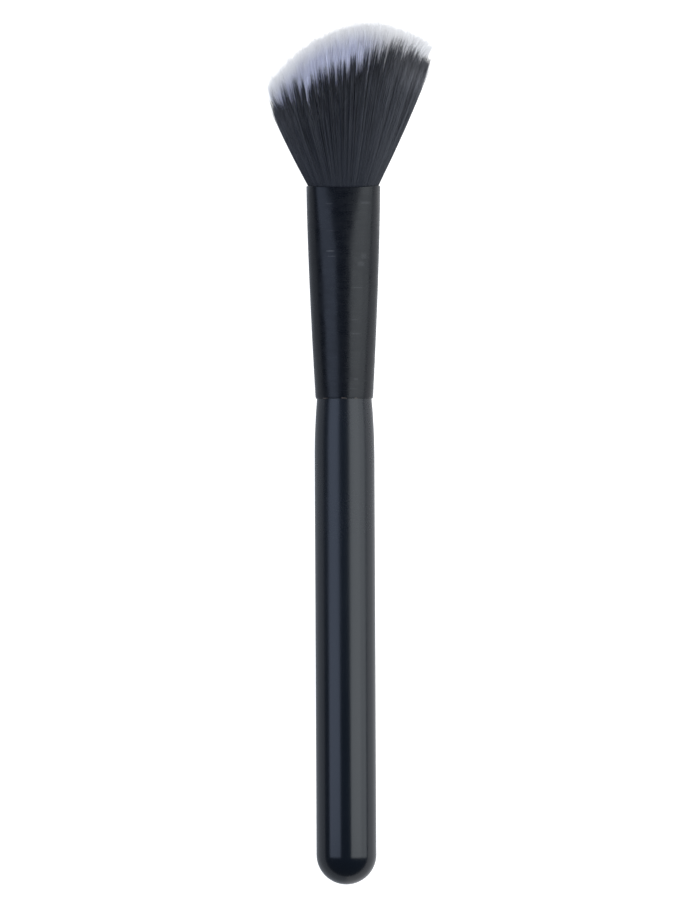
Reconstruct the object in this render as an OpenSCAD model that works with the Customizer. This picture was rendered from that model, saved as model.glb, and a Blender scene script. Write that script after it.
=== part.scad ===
// Angled blush brush, lying on its back with its wide face up.
// The brush runs along +Y with the head at the far end, X is the width of the head and +Z is up.
// The origin is the centre of the handle's rounded butt, on the brush's axis.
// The bristle head is two stocks of filament: short dark ones round and among longer pale ones.

/* [Handle] */
// Diameter of the straight grip and of the rounded butt
grip_d = 12.5; // [11.4:0.1:16]
// Length from the centre of the butt to the ferrule's edge
handle_len = 95; // [70:1:130]
// Length over which the handle narrows towards the ferrule
neck_len = 12.5; // [6:0.5:20]
// Length of the tenon that the ferrule covers
tenon_len = 15; // [8:0.5:20]
// Chamfer on the end of the tenon
tenon_chamfer = 0.8; // [0.2:0.1:1.5]
// Thickness of the glue where the ferrule comes closest to the tenon
glue_film = 0.1; // [0.05:0.05:0.4]

/* [Ferrule] */
// Outside diameter where the ferrule is round, at the handle
ferrule_d = 12; // [10:0.1:13]
// Length of the ferrule
ferrule_len = 44.3; // [36:0.1:60]
// Outside width of the oval mouth
mouth_w = 15.4; // [13:0.1:20]
// Outside thickness of the oval mouth
mouth_t = 12.4; // [10:0.1:14]
// How flat the two broad faces of the mouth are pressed: 0 leaves a plain oval
mouth_flat = 0.55; // [0:0.05:0.6]
// Length over which the mouth is pressed
press_len = 18; // [8:1:20]
// How far the edge of the mouth dips in the middle of its broad faces
mouth_dip = 0.5; // [0:0.1:0.8]
// Thickness of the metal
ferrule_wall = 0.3; // [0.25:0.05:0.5]
// Depth that the handle end is rolled in by
roll_in = 0.1; // [0:0.05:0.3]
// Length of the rolled-in edge
roll_len = 0.5; // [0.3:0.1:1.5]
// How far the rolled-in edge stands proud of the handle's neck
edge_proud = 0.2; // [0.05:0.05:0.2]
// How soon the ferrule widens: 1 is a straight cone, more widens it near the handle first
widen_power = 1.45; // [1:0.05:2]

/* [Root resin] */
// Depth of the resin that binds the roots of the bristles
resin_len = 8; // [4:0.5:10]
// Length of packed bristle between the resin and the mouth
packed_len = 12; // [8:0.5:14]

/* [Bristle head] */
// Lean of the head's low edge from the axis at the mouth, in degrees
flare_low = 29.5; // [15:0.5:34]
// Lean of the head's high edge from the axis at the mouth, in degrees
flare_high = 27; // [12:0.5:34]
// Share of their lean that the bristles lose by the crown
straightening = 0.45; // [0:0.05:0.6]
// Thickness of the head where it is fullest
head_t = 15.2; // [12:0.1:20]
// Height above the mouth at which the head is fullest
belly_len = 20; // [12:0.5:26]
// Height of the low facet of the cut at the middle of the head
low_cut = 34.6; // [26:0.1:42]
// Rise of the low facet from the middle to the edge
low_cut_rise = 15.1; // [8:0.1:18]
// Height of the crown facet at the middle of the head
crown_cut = 32.9; // [30:0.1:42]
// Rise of the crown facet from the middle to the edge
crown_cut_rise = 5.6; // [0:0.1:7]
// Height of the high facet of the cut at the middle of the head
high_cut = 38; // [32:0.1:46]
// Fall of the high facet from the middle to the edge
high_cut_fall = 10.6; // [5:0.1:14]
// Softness of the ridges between the facets
cut_softness = 1; // [0.3:0.1:3]

/* [Dark bristles] */
// Height of the dark bristles' low side at the middle of the head
dark_low = 24.2; // [18:0.1:28]
// Rise of the dark bristles' low side from the middle to the edge
dark_low_rise = 9.5; // [5:0.1:12]
// Height of the dark bristles' high side at the middle of the head
dark_high = 29.9; // [24:0.1:32]
// Fall of the dark bristles' high side from the middle to the edge
dark_high_fall = 4.3; // [1:0.1:8]
// Share of the head's radius that the dark bristles fill at the mouth
dark_share = 0.2; // [0.1:0.01:0.35]
// Length of the points that the dark locks end in
point_len = 2; // [0.5:0.1:2.5]
// Depth of the notches between those points
notch_len = 2; // [0.5:0.1:3]

/* [Pale bristles] */
// Height of the pale rim above the dark bristles
pale_rim = 2.8; // [2.5:0.1:5]
// Least length of pale bristle over a dark point
least_pale = 0.6; // [0.3:0.1:1]
// Height of the tufts on the cut surface
tuft_len = 0.7; // [0.2:0.1:1.5]
// Share of the head's radius that the tips are drawn in by at the rim
rim_draw = 0.04; // [0:0.01:0.06]

/* [Locks] */
// Number of locks round the head
lock_count = 72; // [48:4:80]
// Depth of the grooves between the locks, as a share of the radius
lock_groove = 0.05; // [0.01:0.01:0.08]
// How far a groove may stray from its even place, as a share of the space between columns
groove_stray = 0.35; // [0:0.05:0.5]
// Seed for the lengths of the locks and the straying of the grooves
lock_seed = 7; // [1:1:99]

/* [Hidden] */
// Clearance round pieces that are glued or packed into another
seat_gap = 0.02;
// How far a cutting shape runs past what it cuts
cut_past = 1;
// The lean of the bristles at the mouth grows evenly from edge to edge
lean_low = -tan(flare_low);
lean_high = tan(flare_high);
lean_mid = (lean_high + lean_low) / 2;
lean_half = (lean_high - lean_low) / 2;
grip_r = grip_d / 2;
neck_r = ferrule_d / 2 - roll_in - edge_proud;
tenon_r = min(ferrule_d / 2 - roll_in, ferrule_half(tenon_len)[1]) - ferrule_wall - glue_film;
mouth_y = handle_len + ferrule_len;
// The table lies under the lowest rigid piece, and the soft head is flattened on it
table_drop = max(grip_r, mouth_t / 2);
resin_top = ferrule_len - packed_len;
resin_foot = resin_top - resin_len;
// Height above the mouth by which the bristles have lost its flatness
relax_len = 8;
// Height above the mouth by which the grooves have their full depth
groove_start = 8;
// How late the dark layer thins towards its points
dark_thinning = 3;
// How the cut rises from the rim to the crown: 1 is a round dome, less rises sooner
cut_rise_power = 0.6;
least_reach = 0.001;
least_stagger = 0.3;
turned_sides = 128;
neck_steps = 10;
glued_steps = 3;
packed_steps = 3;
outer_rings = 7;
inner_rings = 3;
rim_rings = 2;
cut_rings = [0.88, 0.66, 0.42, 0.2];
column_count = 2 * lock_count;
lock_stagger = rands(least_stagger, 1, column_count, lock_seed);
lock_drift = rands(-groove_stray, groove_stray, column_count, lock_seed + 1);

// Lists and skins

function joined(lists) = [for (part = lists) each part];

function reversed(list) = [for (i = [len(list) - 1:-1:0]) list[i]];

function between(low, high, share) = low + (high - low) * share;

function soft_min(heights, softness) =
    -softness * ln(joined([for (h = heights) [exp(-h / softness)]]) * [for (h = heights) 1]);

// A closed surface through rings of points, capped at both ends
module skin(rings) {
    count = len(rings[0]);
    last = len(rings) - 1;
    foot = count * (last + 1);
    polyhedron(
        points = concat(joined(rings), [middle(rings[0]), middle(rings[last])]),
        faces = concat(
            walls(count, last, last + 1, last),
            [for (j = [0:count - 1]) [foot, (j + 1) % count, j]],
            [for (j = [0:count - 1]) [foot + 1, last * count + j, last * count + (j + 1) % count]]),
        convexity = 6);
}

// A closed surface through rings of points that runs up the outside and back down the inside
module sleeve(outside, inside) {
    rings = concat(outside, inside);
    total = len(rings);
    polyhedron(
        points = joined(rings),
        faces = walls(len(rings[0]), total, total, len(outside)),
        convexity = 6);
}

// Pairs of triangles between rings. From turn_back on the rings run down, and their diagonals
// are those that the same rings have when they run up, so a sleeve fits what fills it.
function walls(count, steps, ring_total, turn_back) = joined([
    for (i = [0:steps - 1], j = [0:count - 1])
        let (
            here = i * count,
            next = ((i + 1) % ring_total) * count,
            k = (j + 1) % count)
        i < turn_back
            ? [[here + j, here + k, next + k], [here + j, next + k, next + j]]
            : [[here + j, here + k, next + j], [here + k, next + k, next + j]]]);

function middle(ring) = [for (axis = [0:2]) ring_sum(ring, axis) / len(ring)];

function ring_sum(ring, axis) = [for (p = ring) p[axis]] * [for (p = ring) 1];

// Handle

module handle() {
    color("#1f232b")
    rotate([-90, 0, 0])
    rotate_extrude($fn = turned_sides)
        handle_profile();
}

module handle_profile() {
    straight_len = handle_len - neck_len;
    butt_profile();
    square([grip_r, straight_len]);
    polygon(concat([[0, straight_len]], neck_curve(straight_len), [[0, handle_len]]));
    polygon([
        [0, handle_len],
        [tenon_r, handle_len],
        [tenon_r, handle_len + tenon_len - tenon_chamfer],
        [tenon_r - tenon_chamfer, handle_len + tenon_len],
        [0, handle_len + tenon_len]]);
}

module butt_profile() {
    intersection() {
        circle(r = grip_r, $fn = turned_sides);
        translate([0, -grip_r]) square(grip_r);
    }
}

function neck_curve(straight_len) = [
    for (i = [0:neck_steps])
        let (share = i / neck_steps)
        [between(grip_r, neck_r, share * share), straight_len + neck_len * share]];

// Ferrule

// Half the width and half the thickness of the outside, at a height above the ferrule's edge
function ferrule_half(height) =
    let (
        share = max(0, min(1, height / ferrule_len)),
        widened = 1 - pow(1 - share, widen_power),
        rolled = roll_in * max(0, 1 - height / roll_len))
    [between(ferrule_d, mouth_w, widened) / 2 - rolled, between(ferrule_d, mouth_t, widened) / 2 - rolled];

// How much of the pressing of the mouth is felt, at a height above the ferrule's edge
function pressed_share(height) = pow(max(0, 1 - (ferrule_len - height) / press_len), 2);

// The height of an oval's outline at a share of its half thickness, with its broad faces flattened
function flattened(share, flatness) = (1 + flatness) * share / (1 + flatness * share * share);

// A point of the ferrule's outline at a turn round it, at a height above its edge
function ferrule_point(height, inset, turn) =
    let (
        half = ferrule_half(height) - [inset, inset],
        flatness = mouth_flat * pressed_share(height))
    [half[0] * cos(turn), handle_len + height, half[1] * flattened(sin(turn), flatness)];

function ferrule_ring(height, inset, dip) = [
    for (j = [0:lock_count - 1])
        let (turn = 360 * j / lock_count)
        ferrule_point(height, inset, turn) - [0, dip * pressed_share(height) * pow(sin(turn), 2), 0]];

function heights(low, high, steps) = [for (i = [0:steps]) between(low, high, i / steps)];

glued_heights = concat([0], heights(roll_len, tenon_len, glued_steps));
packed_heights = heights(resin_top, ferrule_len, packed_steps);
ferrule_heights = concat(glued_heights, [resin_foot], packed_heights);

module ferrule() {
    outside = [for (height = ferrule_heights) ferrule_ring(height, 0, mouth_dip)];
    inside = [for (height = ferrule_heights) ferrule_ring(height, ferrule_wall, mouth_dip)];
    color("#2b2e34")
    sleeve(outside, reversed(inside));
}

// Glue and resin inside the ferrule

// The room inside the ferrule between two heights, less the seat clearance
module ferrule_room(levels) {
    skin([for (height = levels) ferrule_ring(height, ferrule_wall + seat_gap, 0)]);
}

module handle_glue() {
    color("#c8b27a")
    difference() {
        ferrule_room(glued_heights);
        translate([0, handle_len - cut_past, 0])
        rotate([-90, 0, 0])
            cylinder(r = tenon_r + seat_gap, h = tenon_len + 2 * cut_past, $fn = turned_sides);
    }
}

module root_resin() {
    color("#b9924e")
    ferrule_room([resin_foot, resin_top]);
}

// Bristle head

mouth_half = ferrule_half(ferrule_len) - [ferrule_wall + seat_gap, ferrule_wall + seat_gap];

// Height above the mouth at which the pale bristles are cut, on the head's middle plane
function cut_height(u) = soft_min([
    low_cut + low_cut_rise * u,
    crown_cut + crown_cut_rise * u,
    high_cut - high_cut_fall * u], cut_softness);

// Height to which the dark bristles reach, before their points and notches
function dark_height(u) = soft_min([
    dark_low + dark_low_rise * u,
    dark_high - dark_high_fall * u], cut_softness);

// Height of the pale bristles on the outside of the head
function rim_height(u) = min(dark_height(u) + pale_rim, cut_height(u));

// Height of the pale bristles anywhere on the head: u across, v through its thickness
function tip_height(u, v) =
    let (reach = max(least_reach, 1 - u * u))
    between(rim_height(u), cut_height(u), pow(max(0, 1 - v * v / reach), cut_rise_power));

// Half the thickness of the head, at a height above the mouth
function head_half(height) =
    let (left = 1 - min(1, height / belly_len))
    between(mouth_half[1], head_t / 2, 1 - left * left);

// How far sideways a lean of 1 carries a bristle by a height above the mouth
function carried(height) = height * (1 - straightening * height / (2 * crown_cut));

// Where the bristle that leaves the mouth at [u, v] has got to, at a height above the mouth
function bristle_point(u, v, height) =
    let (flatness = mouth_flat * pow(max(0, 1 - height / relax_len), 2))
    [
        mouth_half[0] * u + (lean_mid + lean_half * u) * carried(height),
        mouth_y + height,
        max(-table_drop, flattened(v, flatness) * head_half(height))];

// Even columns are the middles of locks, and odd columns the grooves between them
function is_groove(j) = j % 2;

function turn_of(j) = 360 * (j + is_groove(j) * lock_drift[j]) / column_count;

// A column of the head's outside, drawn in towards the axis by a share of its radius
function head_point(j, height, inset) =
    let (
        turn = turn_of(j),
        groove = lock_groove * is_groove(j) * min(1, height / groove_start),
        keep = 1 - groove - inset,
        core = [lean_mid * carried(height), mouth_y + height, 0],
        outside = bristle_point(cos(turn), sin(turn), height))
    core + keep * (outside - core);

// Where a column of dark bristle ends: a point on a lock, a notch in a groove
function dark_end(j) =
    let (
        u = cos(turn_of(j)),
        stagger = lock_stagger[j],
        reach = is_groove(j) ? -notch_len * stagger : point_len * stagger)
    min(dark_height(u) + reach, rim_height(u) - least_pale);

// Share of the radius that is dark: a full layer at the mouth that thins to nothing at its points
function dark_depth(share) = dark_share * (1 - pow(share, dark_thinning));

function dark_outside(share) = [
    for (j = [0:column_count - 1]) head_point(j, dark_end(j) * share, 0)];

function dark_inside(share, gap) = [
    for (j = [0:column_count - 1]) head_point(j, dark_end(j) * share, dark_depth(share) + gap)];

// Rings of the packed roots below the mouth, drawn in towards the axis by a share of their radius
function root_rings(inset) = [for (i = [0:packed_steps - 1]) root_ring(packed_heights[i], 1 - inset)];

function root_ring(height, keep) = [
    for (j = [0:column_count - 1])
        let (outside = ferrule_point(height, ferrule_wall + seat_gap, turn_of(j)))
        [keep * outside[0], outside[1], keep * outside[2]]];

seat_share = 2 * seat_gap / mouth_t;

module dark_bristles() {
    outside = concat(root_rings(0), [for (i = [0:outer_rings - 1]) dark_outside(i / outer_rings)]);
    inside = concat(root_rings(dark_share), [for (i = [0:inner_rings]) dark_inside(i / inner_rings, 0)]);
    color("#2a2d35")
    sleeve(outside, reversed(inside));
}

module pale_bristles() {
    color("#b4b7ca")
    skin(concat(
        root_rings(dark_share + seat_share),
        [for (i = [0:inner_rings]) dark_inside(i / inner_rings, seat_share)],
        [for (i = [1:rim_rings]) pale_rim_ring(i / rim_rings)],
        [for (i = [0:len(cut_rings) - 1]) cut_ring(cut_rings[i], i)]));
}

// The outside of the pale bristles, from the dark points up to the rim
function pale_rim_ring(share) = [
    for (j = [0:column_count - 1])
        let (height = between(dark_end(j), rim_height(cos(turn_of(j))), share))
        head_point(j, height, between(seat_share, rim_draw, share * share))];

// A ring of tufts on the cut surface, which grow finer and lower towards its middle
function cut_ring(share, row) = [
    for (j = [0:column_count - 1])
        let (
            u = share * cos(turn_of(j)),
            v = share * sin(turn_of(j)),
            sunk = tuft_len * share * lock_stagger[(j + row * lock_count) % column_count] * ((j + row) % 2))
        bristle_point(u, v, tip_height(u, v) - sunk)];

handle();
ferrule();
handle_glue();
root_resin();
dark_bristles();
pale_bristles();
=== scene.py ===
"""Angled blush brush: a lacquered handle, an oval ferrule and a slanted head of two-tone filament."""

import math

import bpy
import numpy as np
from bpy.props import FloatProperty, FloatVectorProperty, IntProperty, PointerProperty
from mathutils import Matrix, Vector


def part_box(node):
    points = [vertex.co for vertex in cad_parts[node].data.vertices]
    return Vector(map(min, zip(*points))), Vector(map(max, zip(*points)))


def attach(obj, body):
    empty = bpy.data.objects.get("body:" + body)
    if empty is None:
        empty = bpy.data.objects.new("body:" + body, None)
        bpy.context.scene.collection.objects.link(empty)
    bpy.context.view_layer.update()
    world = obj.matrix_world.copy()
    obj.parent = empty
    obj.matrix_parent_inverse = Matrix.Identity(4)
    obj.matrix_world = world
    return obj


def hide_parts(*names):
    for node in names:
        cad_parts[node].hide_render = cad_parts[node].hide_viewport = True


bl_info = {
    "name": "Angled Blush Brush",
    "version": (1, 0, 0),
    "blender": (4, 5, 0),
    "location": "3D View > Sidebar > Blush Brush",
    "description": "Dresses an angled blush brush and sets up a plain studio for it",
    "category": "Object",
}

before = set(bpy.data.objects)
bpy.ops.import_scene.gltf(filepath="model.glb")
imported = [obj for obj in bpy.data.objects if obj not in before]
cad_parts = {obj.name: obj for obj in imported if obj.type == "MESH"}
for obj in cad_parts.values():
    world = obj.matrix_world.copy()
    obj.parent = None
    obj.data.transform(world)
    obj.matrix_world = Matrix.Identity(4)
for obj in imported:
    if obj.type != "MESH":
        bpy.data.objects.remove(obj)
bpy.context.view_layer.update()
BODY = "root"
MM = 0.001

HANDLE_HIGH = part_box("handle")[1]
TABLE_Z = -HANDLE_HIGH[0]
FERRULE_LOW, FERRULE_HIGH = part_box("ferrule")
EDGE_Y = FERRULE_LOW[1]
MOUTH_Y = FERRULE_HIGH[1]
SEAT_GAP = 0.02 * MM

# Sides of the round pieces, rings along their stretches and points along a filament
TUBE_SIDES = 128
CORE_SIDES = 64
NECK_RINGS = 16
GRIP_RINGS = 8
BUTT_RINGS = 24
FERRULE_RINGS = 28
LIP_RINGS = 8
CORE_RINGS = 24
DARK_POINTS = 6
PALE_POINTS = 4

# Places on the upper face of the ferrule where the coat is lighter, partly from rubbing and partly
# painted
# highlight in the highlight bands: place across and along, half width and half height, in millimetres,
# and strength
RUBBED_GLINTS = (
    (-2.8, 125.6, 1.1, 0.16, 0.75),
    (-2.5, 124.5, 1.2, 0.14, 0.30),
    (-3.0, 135.4, 0.9, 0.16, 0.25),
    (-2.7, 129.8, 1.2, 0.14, 0.12),
    (4.6, 135.6, 1.4, 0.35, 0.20),
    (4.2, 124.6, 0.8, 0.9, 0.16),
    (3.6, 122.9, 1.0, 0.7, 0.20),
    (2.9, 118.0, 1.5, 0.14, 0.20),
    (2.1, 111.3, 1.0, 0.16, 0.18),
    (2.4, 108.4, 1.3, 0.18, 0.20),
    (2.4, 99.0, 0.6, 0.3, 0.22),
    (1.8, 97.0, 1.0, 0.14, 0.18),
)

# Glue and resin: the clear colour, the colour of the cloudy places and the roughness
GLUE = ((0.58, 0.46, 0.22), (0.66, 0.57, 0.36), 0.5)
RESIN = ((0.50, 0.30, 0.09), (0.58, 0.42, 0.2), 0.2)

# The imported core: its share of the head's width and depth, its reach into the ferrule, the slopes of
# its two upper faces, and the slopes of the line where its colour turns pale
CORE_SHARE = 0.80
CORE_ROOT = 11 * MM
LOW_SLOPE = 0.70
HIGH_SLOPE = 0.48
DARK_LOW_SLOPE = 0.62
DARK_HIGH_SLOPE = 0.22

# How filaments lie: the power of the dome of the cut, the length over which they lean to their lock,
# how much they thin to the tip, their gap to the table, and how much depth counts in finding a lock
DOME_POWER = 0.6
GATHER_LENGTH = 9 * MM
TAPER = 0.88
TABLE_GAP = 0.06 * MM
DEPTH_WEIGHT = 0.5

# Dark filaments: the ring of the head that they fill, how many of their mean lengths the soft ones
# start below the visible edge, and how far below the cut all may end
DARK_RING = (0.86, 0.985)
EDGE_DEPTH = 3.4
BELOW_CUT = 1.5 * MM

# Spikes: their share of the dark locks, climb in millimetres, half width, slope and fray
SPIKY_SHARE = 0.6
SPIKE_CLIMB = (0.2, 2.5)
SPIKE_HALF_WIDTH = 0.19 * MM
SPIKE_SLOPE = 4.0
SPIKE_FRAY = 0.3 * MM

# How far locks stand out and lean, and how far single filaments stray
LOCK_LIFT = 0.3 * MM
LOCK_LEAN = 0.22 * MM
STRAY_SHAPE = 1.5
DARK_STRAY = 0.12 * MM
PALE_STRAY = 0.09 * MM
INNER_STRAY = 0.3 * MM

# Pale filaments: how far they stand out on average and at most, how far they are set back, how much
# their locks fall off to the side, how deep the middle piece is, and how long the tips whiten
LONGER = 0.62 * MM
LONGEST = 2.2 * MM
SET_BACK = 0.45 * MM
LOCK_SLOPE = 0.6
MIDDLE_DEPTH = 0.28
FADE_LENGTH = 8 * MM

# How far the dark tips stand above the dark solid: the place across the head, from -1 on its low side
# to 1 on its high side, and below it the lift there in millimetres
DARK_LIFT = (
    (-1.00, -0.80, -0.57, -0.40, 0.0, 0.13, 0.33, 0.49, 0.64, 0.78, 0.90),
    (4.6, 3.7, 2.2, 1.4, 1.3, 1.8, 2.1, 1.7, 3.8, 4.4, 4.5),
)


# Settings


def length(name, description, default):
    """A size in metres that shows in the scene's own units."""
    return FloatProperty(
        name=name, description=description, default=default, unit="LENGTH", precision=5)


def tint(name, description, default):
    """A colour in linear light."""
    return FloatVectorProperty(
        name=name, description=description, default=default, subtype="COLOR", size=3, min=0.0, max=4.0)


def share(name, description, default, high=1.0):
    """A number from 0 to a top value."""
    return FloatProperty(
        name=name, description=description, default=default, min=0.0, max=high, precision=3)


def degrees(name, description, default):
    """An angle, whose default is in degrees."""
    return FloatProperty(
        name=name, description=description, default=math.radians(default), subtype="ANGLE")


def number(name, description, default):
    """A whole number."""
    return IntProperty(name=name, description=description, default=default)


class HandleSettings(bpy.types.PropertyGroup):
    grip_radius: length("Grip radius", "Radius of the grip and the butt", HANDLE_HIGH[0])
    neck_length: length("Neck length", "Length over which the handle narrows", 12.5 * MM)
    neck_radius: length("Neck radius", "Radius at the ferrule", 5.7 * MM)
    tenon_radius: length("Tenon radius", "Radius of the tenon", 5.5 * MM)
    tenon_chamfer: length("Tenon chamfer", "Chamfer on the end of the tenon", 0.8 * MM)
    lacquer: tint("Lacquer", "Colour of the lacquer", (0.0016, 0.0030, 0.0056))
    roughness: share("Roughness", "Roughness of the satin lacquer", 0.27)


class FerruleSettings(bpy.types.PropertyGroup):
    round_radius: length("Round radius", "Outside radius at the handle", 6.0 * MM)
    mouth_half_width: length("Mouth half width", "Half the outside width of the mouth", FERRULE_HIGH[0])
    mouth_half_depth: length("Mouth half depth", "Half the outside depth of the mouth", 6.2 * MM)
    mouth_flat: share("Mouth flatness", "How flat the mouth is pressed", 0.55)
    press_length: length("Press length", "Length over which the mouth is pressed", 18 * MM)
    mouth_dip: length("Mouth dip", "Dip of the mouth's edge in its broad faces", 0.5 * MM)
    wall: length("Wall", "Thickness of the metal", 0.3 * MM)
    roll_in: length("Roll-in", "Depth of the rolled-in edge", 0.1 * MM)
    roll_length: length("Roll length", "Length of the rolled-in edge", 0.5 * MM)
    widen_power: share("Widening", "How soon the tube widens", 1.45, 3.0)
    coat: tint("Coat", "Colour of the coating", (0.0013, 0.0020, 0.0038))
    # Lighter coat colour of the patches, partly from rubbing and partly painted highlight
    rubbed_and_glinting: tint("Rubbed", "Colour where the coating is rubbed", (0.050, 0.052, 0.058))
    bare_metal: tint("Bare metal", "Colour where the coating is chipped", (0.055, 0.046, 0.042))
    roughness: share("Roughness", "Roughness of the satin coating", 0.29)


class HeadSettings(bpy.types.PropertyGroup):
    flare_low: degrees("Low flare", "Lean of the low edge at the mouth", 29)
    flare_high: degrees("High flare", "Lean of the high edge at the mouth", 27)
    straightening: share("Straightening", "Share of their lean that bristles lose by the crown", 0.45)
    thickness: length("Thickness", "Thickness of the head where it is fullest", 15.2 * MM)
    belly: length("Belly", "Height above the mouth of the fullest place", 20 * MM)
    low_cut: length("Low cut", "Height of the low facet at the middle", 34.6 * MM)
    low_cut_rise: length("Low cut rise", "Rise of the low facet to the edge", 15.1 * MM)
    crown_cut: length("Crown cut", "Height of the crown facet at the middle", 32.9 * MM)
    crown_cut_rise: length("Crown cut rise", "Rise of the crown facet to the edge", 5.6 * MM)
    high_cut: length("High cut", "Height of the high facet at the middle", 38 * MM)
    high_cut_fall: length("High cut fall", "Fall of the high facet to the edge", 10.6 * MM)
    dark_low: length("Dark low", "Height of the dark low side at the middle", 24.2 * MM)
    dark_low_rise: length("Dark low rise", "Rise of the dark low side to the edge", 9.5 * MM)
    dark_high: length("Dark high", "Height of the dark high side at the middle", 29.9 * MM)
    dark_high_fall: length("Dark high fall", "Fall of the dark high side to the edge", 4.3 * MM)
    softness: length("Softness", "Softness of the ridges between facets", 1 * MM)
    rim: length("Pale rim", "Height of the pale rim above the dark bristles", 2.8 * MM)
    core_depth: length("Core depth", "Depth of the packed core below the tips", 6.5 * MM)
    filament: length("Filament", "Thickness of one filament", 0.12 * MM)
    dark_count: number("Dark filaments", "Number of dark filaments", 12000)
    dark_locks: number("Dark locks", "Number of dark locks", 420)
    dark_soft: length("Dark softness", "Mean length that dark filaments stand out by", 1.4 * MM)
    pale_count: number("Pale filaments", "Number of pale filaments", 28000)
    pale_locks: number("Pale locks", "Number of pale locks", 900)
    seed: number("Seed", "Seed of the scatter", 23)
    dark: tint("Dark filament", "Colour of the dark filaments", (0.0040, 0.0054, 0.0094))
    dark_light: tint("Light streaks", "Colour of the lightest dark filaments", (0.062, 0.066, 0.078))
    pale: tint("Pale filament", "Colour of the pale filaments low down", (0.49, 0.52, 0.70))
    pale_high: tint("Pale high side", "The same on the high side of the head", (0.53, 0.53, 0.57))
    pale_tip: tint("Pale tip", "Colour of the pale filaments at their tips", (0.98, 0.985, 1.0))


class StageSettings(bpy.types.PropertyGroup):
    camera_height: length("Camera height", "Height over the brush's axis", 1.2)
    view_height: length("View height", "Height of the picture at the brush's axis", 187.6 * MM)
    view_x: length("View across", "Middle of the picture across the brush", -1.47 * MM)
    view_y: length("View along", "Middle of the picture along the brush", 84.3 * MM)
    roll: degrees("Roll", "Roll of the camera", -0.27)
    floor: tint("Floor", "Colour of the floor", (0.4, 0.4, 0.4))
    floor_glow: share("Floor glow", "Light that the floor gives", 0.9)
    card_left: tint("Card, left", "Colour of the card's left side", (0.46, 0.50, 0.56))
    card_right: tint("Card, right", "Colour of the card's right side", (0.78, 0.80, 0.84))
    around: tint("Surroundings", "Colour round the studio", (0.08, 0.09, 0.11))
    left_power: share("Left light", "Radiance of the left strip light", 1.4, 20.0)
    left_tint: tint("Left tint", "Colour of the left strip light", (0.80, 0.94, 1.26))
    right_power: share("Right light", "Radiance of the right strip lights", 2.35, 20.0)
    right_tint: tint("Right tint", "Colour of the right strip lights", (0.94, 1.0, 1.04))
    fill_power: share("Fill light", "Radiance of the overhead fill", 5.4, 20.0)


class BrushSettings(bpy.types.PropertyGroup):
    handle: PointerProperty(type=HandleSettings)
    ferrule: PointerProperty(type=FerruleSettings)
    head: PointerProperty(type=HeadSettings)
    stage: PointerProperty(type=StageSettings)


# Shader recipes


class Wire:
    """A number that changes over a surface. Arithmetic on it adds Math nodes."""

    def __init__(self, recipe, socket):
        self.recipe = recipe
        self.socket = socket

    def with_math(self, operation, first, second=0.0):
        """The result of one Math node."""
        return self.recipe.node("ShaderNodeMath", {"operation": operation}, {0: first, 1: second})

    def __add__(self, other):
        return self.with_math("ADD", self, other)

    def __radd__(self, other):
        return self.with_math("ADD", other, self)

    def __sub__(self, other):
        return self.with_math("SUBTRACT", self, other)

    def __rsub__(self, other):
        return self.with_math("SUBTRACT", other, self)

    def __mul__(self, other):
        return self.with_math("MULTIPLY", self, other)

    def __rmul__(self, other):
        return self.with_math("MULTIPLY", other, self)

    def __truediv__(self, other):
        return self.with_math("DIVIDE", self, other)

    def __abs__(self):
        return self.with_math("ABSOLUTE", self)

    def at_most(self, other):
        """The lower of this and another number."""
        return self.with_math("MINIMUM", self, other)

    def ramp(self, low, high):
        """0 below low, 1 above high and smooth between."""
        settings = {"interpolation_type": "SMOOTHSTEP"}
        inputs = {"Value": self, "From Min": low, "From Max": high, "To Min": 0.0, "To Max": 1.0}
        return self.recipe.node("ShaderNodeMapRange", settings, inputs)


class Recipe:
    """The nodes of one material."""

    def __init__(self, name):
        self.material = bpy.data.materials.new(name)
        self.material.use_nodes = True
        self.tree = self.material.node_tree
        self.shader = self.tree.nodes["Principled BSDF"]

    def node(self, kind, settings, inputs, output=0):
        """Adds a node, sets it up, feeds its sockets and gives back one of its outputs."""
        node = self.tree.nodes.new(kind)
        for key, value in settings.items():
            setattr(node, key, value)
        for key, value in inputs.items():
            self.feed(node.inputs[key], value)
        return Wire(self, node.outputs[output])

    def feed(self, socket, value):
        """Links a wire to a socket, or sets the socket to a plain value."""
        if isinstance(value, Wire):
            self.tree.links.new(value.socket, socket)
        else:
            socket.default_value = value

    def set(self, **inputs):
        """Feeds the surface shader's sockets, by their names with underscores."""
        for key, value in inputs.items():
            self.feed(self.shader.inputs[key.replace("_", " ")], value)

    def place(self):
        """The place on the piece."""
        return self.node("ShaderNodeTexCoord", {}, {}, "Object")

    def axis(self, letter):
        """The place along X, Y or Z."""
        return self.node("ShaderNodeSeparateXYZ", {}, {0: self.place()}, letter)

    def painted(self, name):
        """A number kept on the mesh's points."""
        return self.node("ShaderNodeAttribute", {"attribute_name": name}, {}, "Fac")

    def noise(self, scale, detail=3.0, stretch=(1.0, 1.0, 1.0), shift=(0.0, 0.0, 0.0)):
        """Noise from 0 to 1, stretched along the axes and moved off the origin."""
        mapping = {"Vector": self.place(), "Scale": stretch, "Location": shift}
        where = self.node("ShaderNodeMapping", {}, mapping)
        inputs = {"Vector": where, "Scale": scale, "Detail": detail}
        return self.node("ShaderNodeTexNoise", {}, inputs, "Fac")

    def mix(self, share_of_second, first, second):
        """A colour between two, each a tuple or a wire."""
        node = self.tree.nodes.new("ShaderNodeMix")
        node.data_type = "RGBA"
        self.feed(node.inputs["Factor"], share_of_second)
        for key, value in ((6, first), (7, second)):
            self.feed(node.inputs[key], value if isinstance(value, Wire) else (*value, 1.0))
        return Wire(self, node.outputs[2])

    def bump(self, height, distance, strength=1.0):
        """A normal that tilts with a height, which is 1 where the surface stands that distance proud."""
        inputs = {"Height": height, "Distance": distance, "Strength": strength}
        return self.node("ShaderNodeBump", {}, inputs, "Normal")


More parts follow.
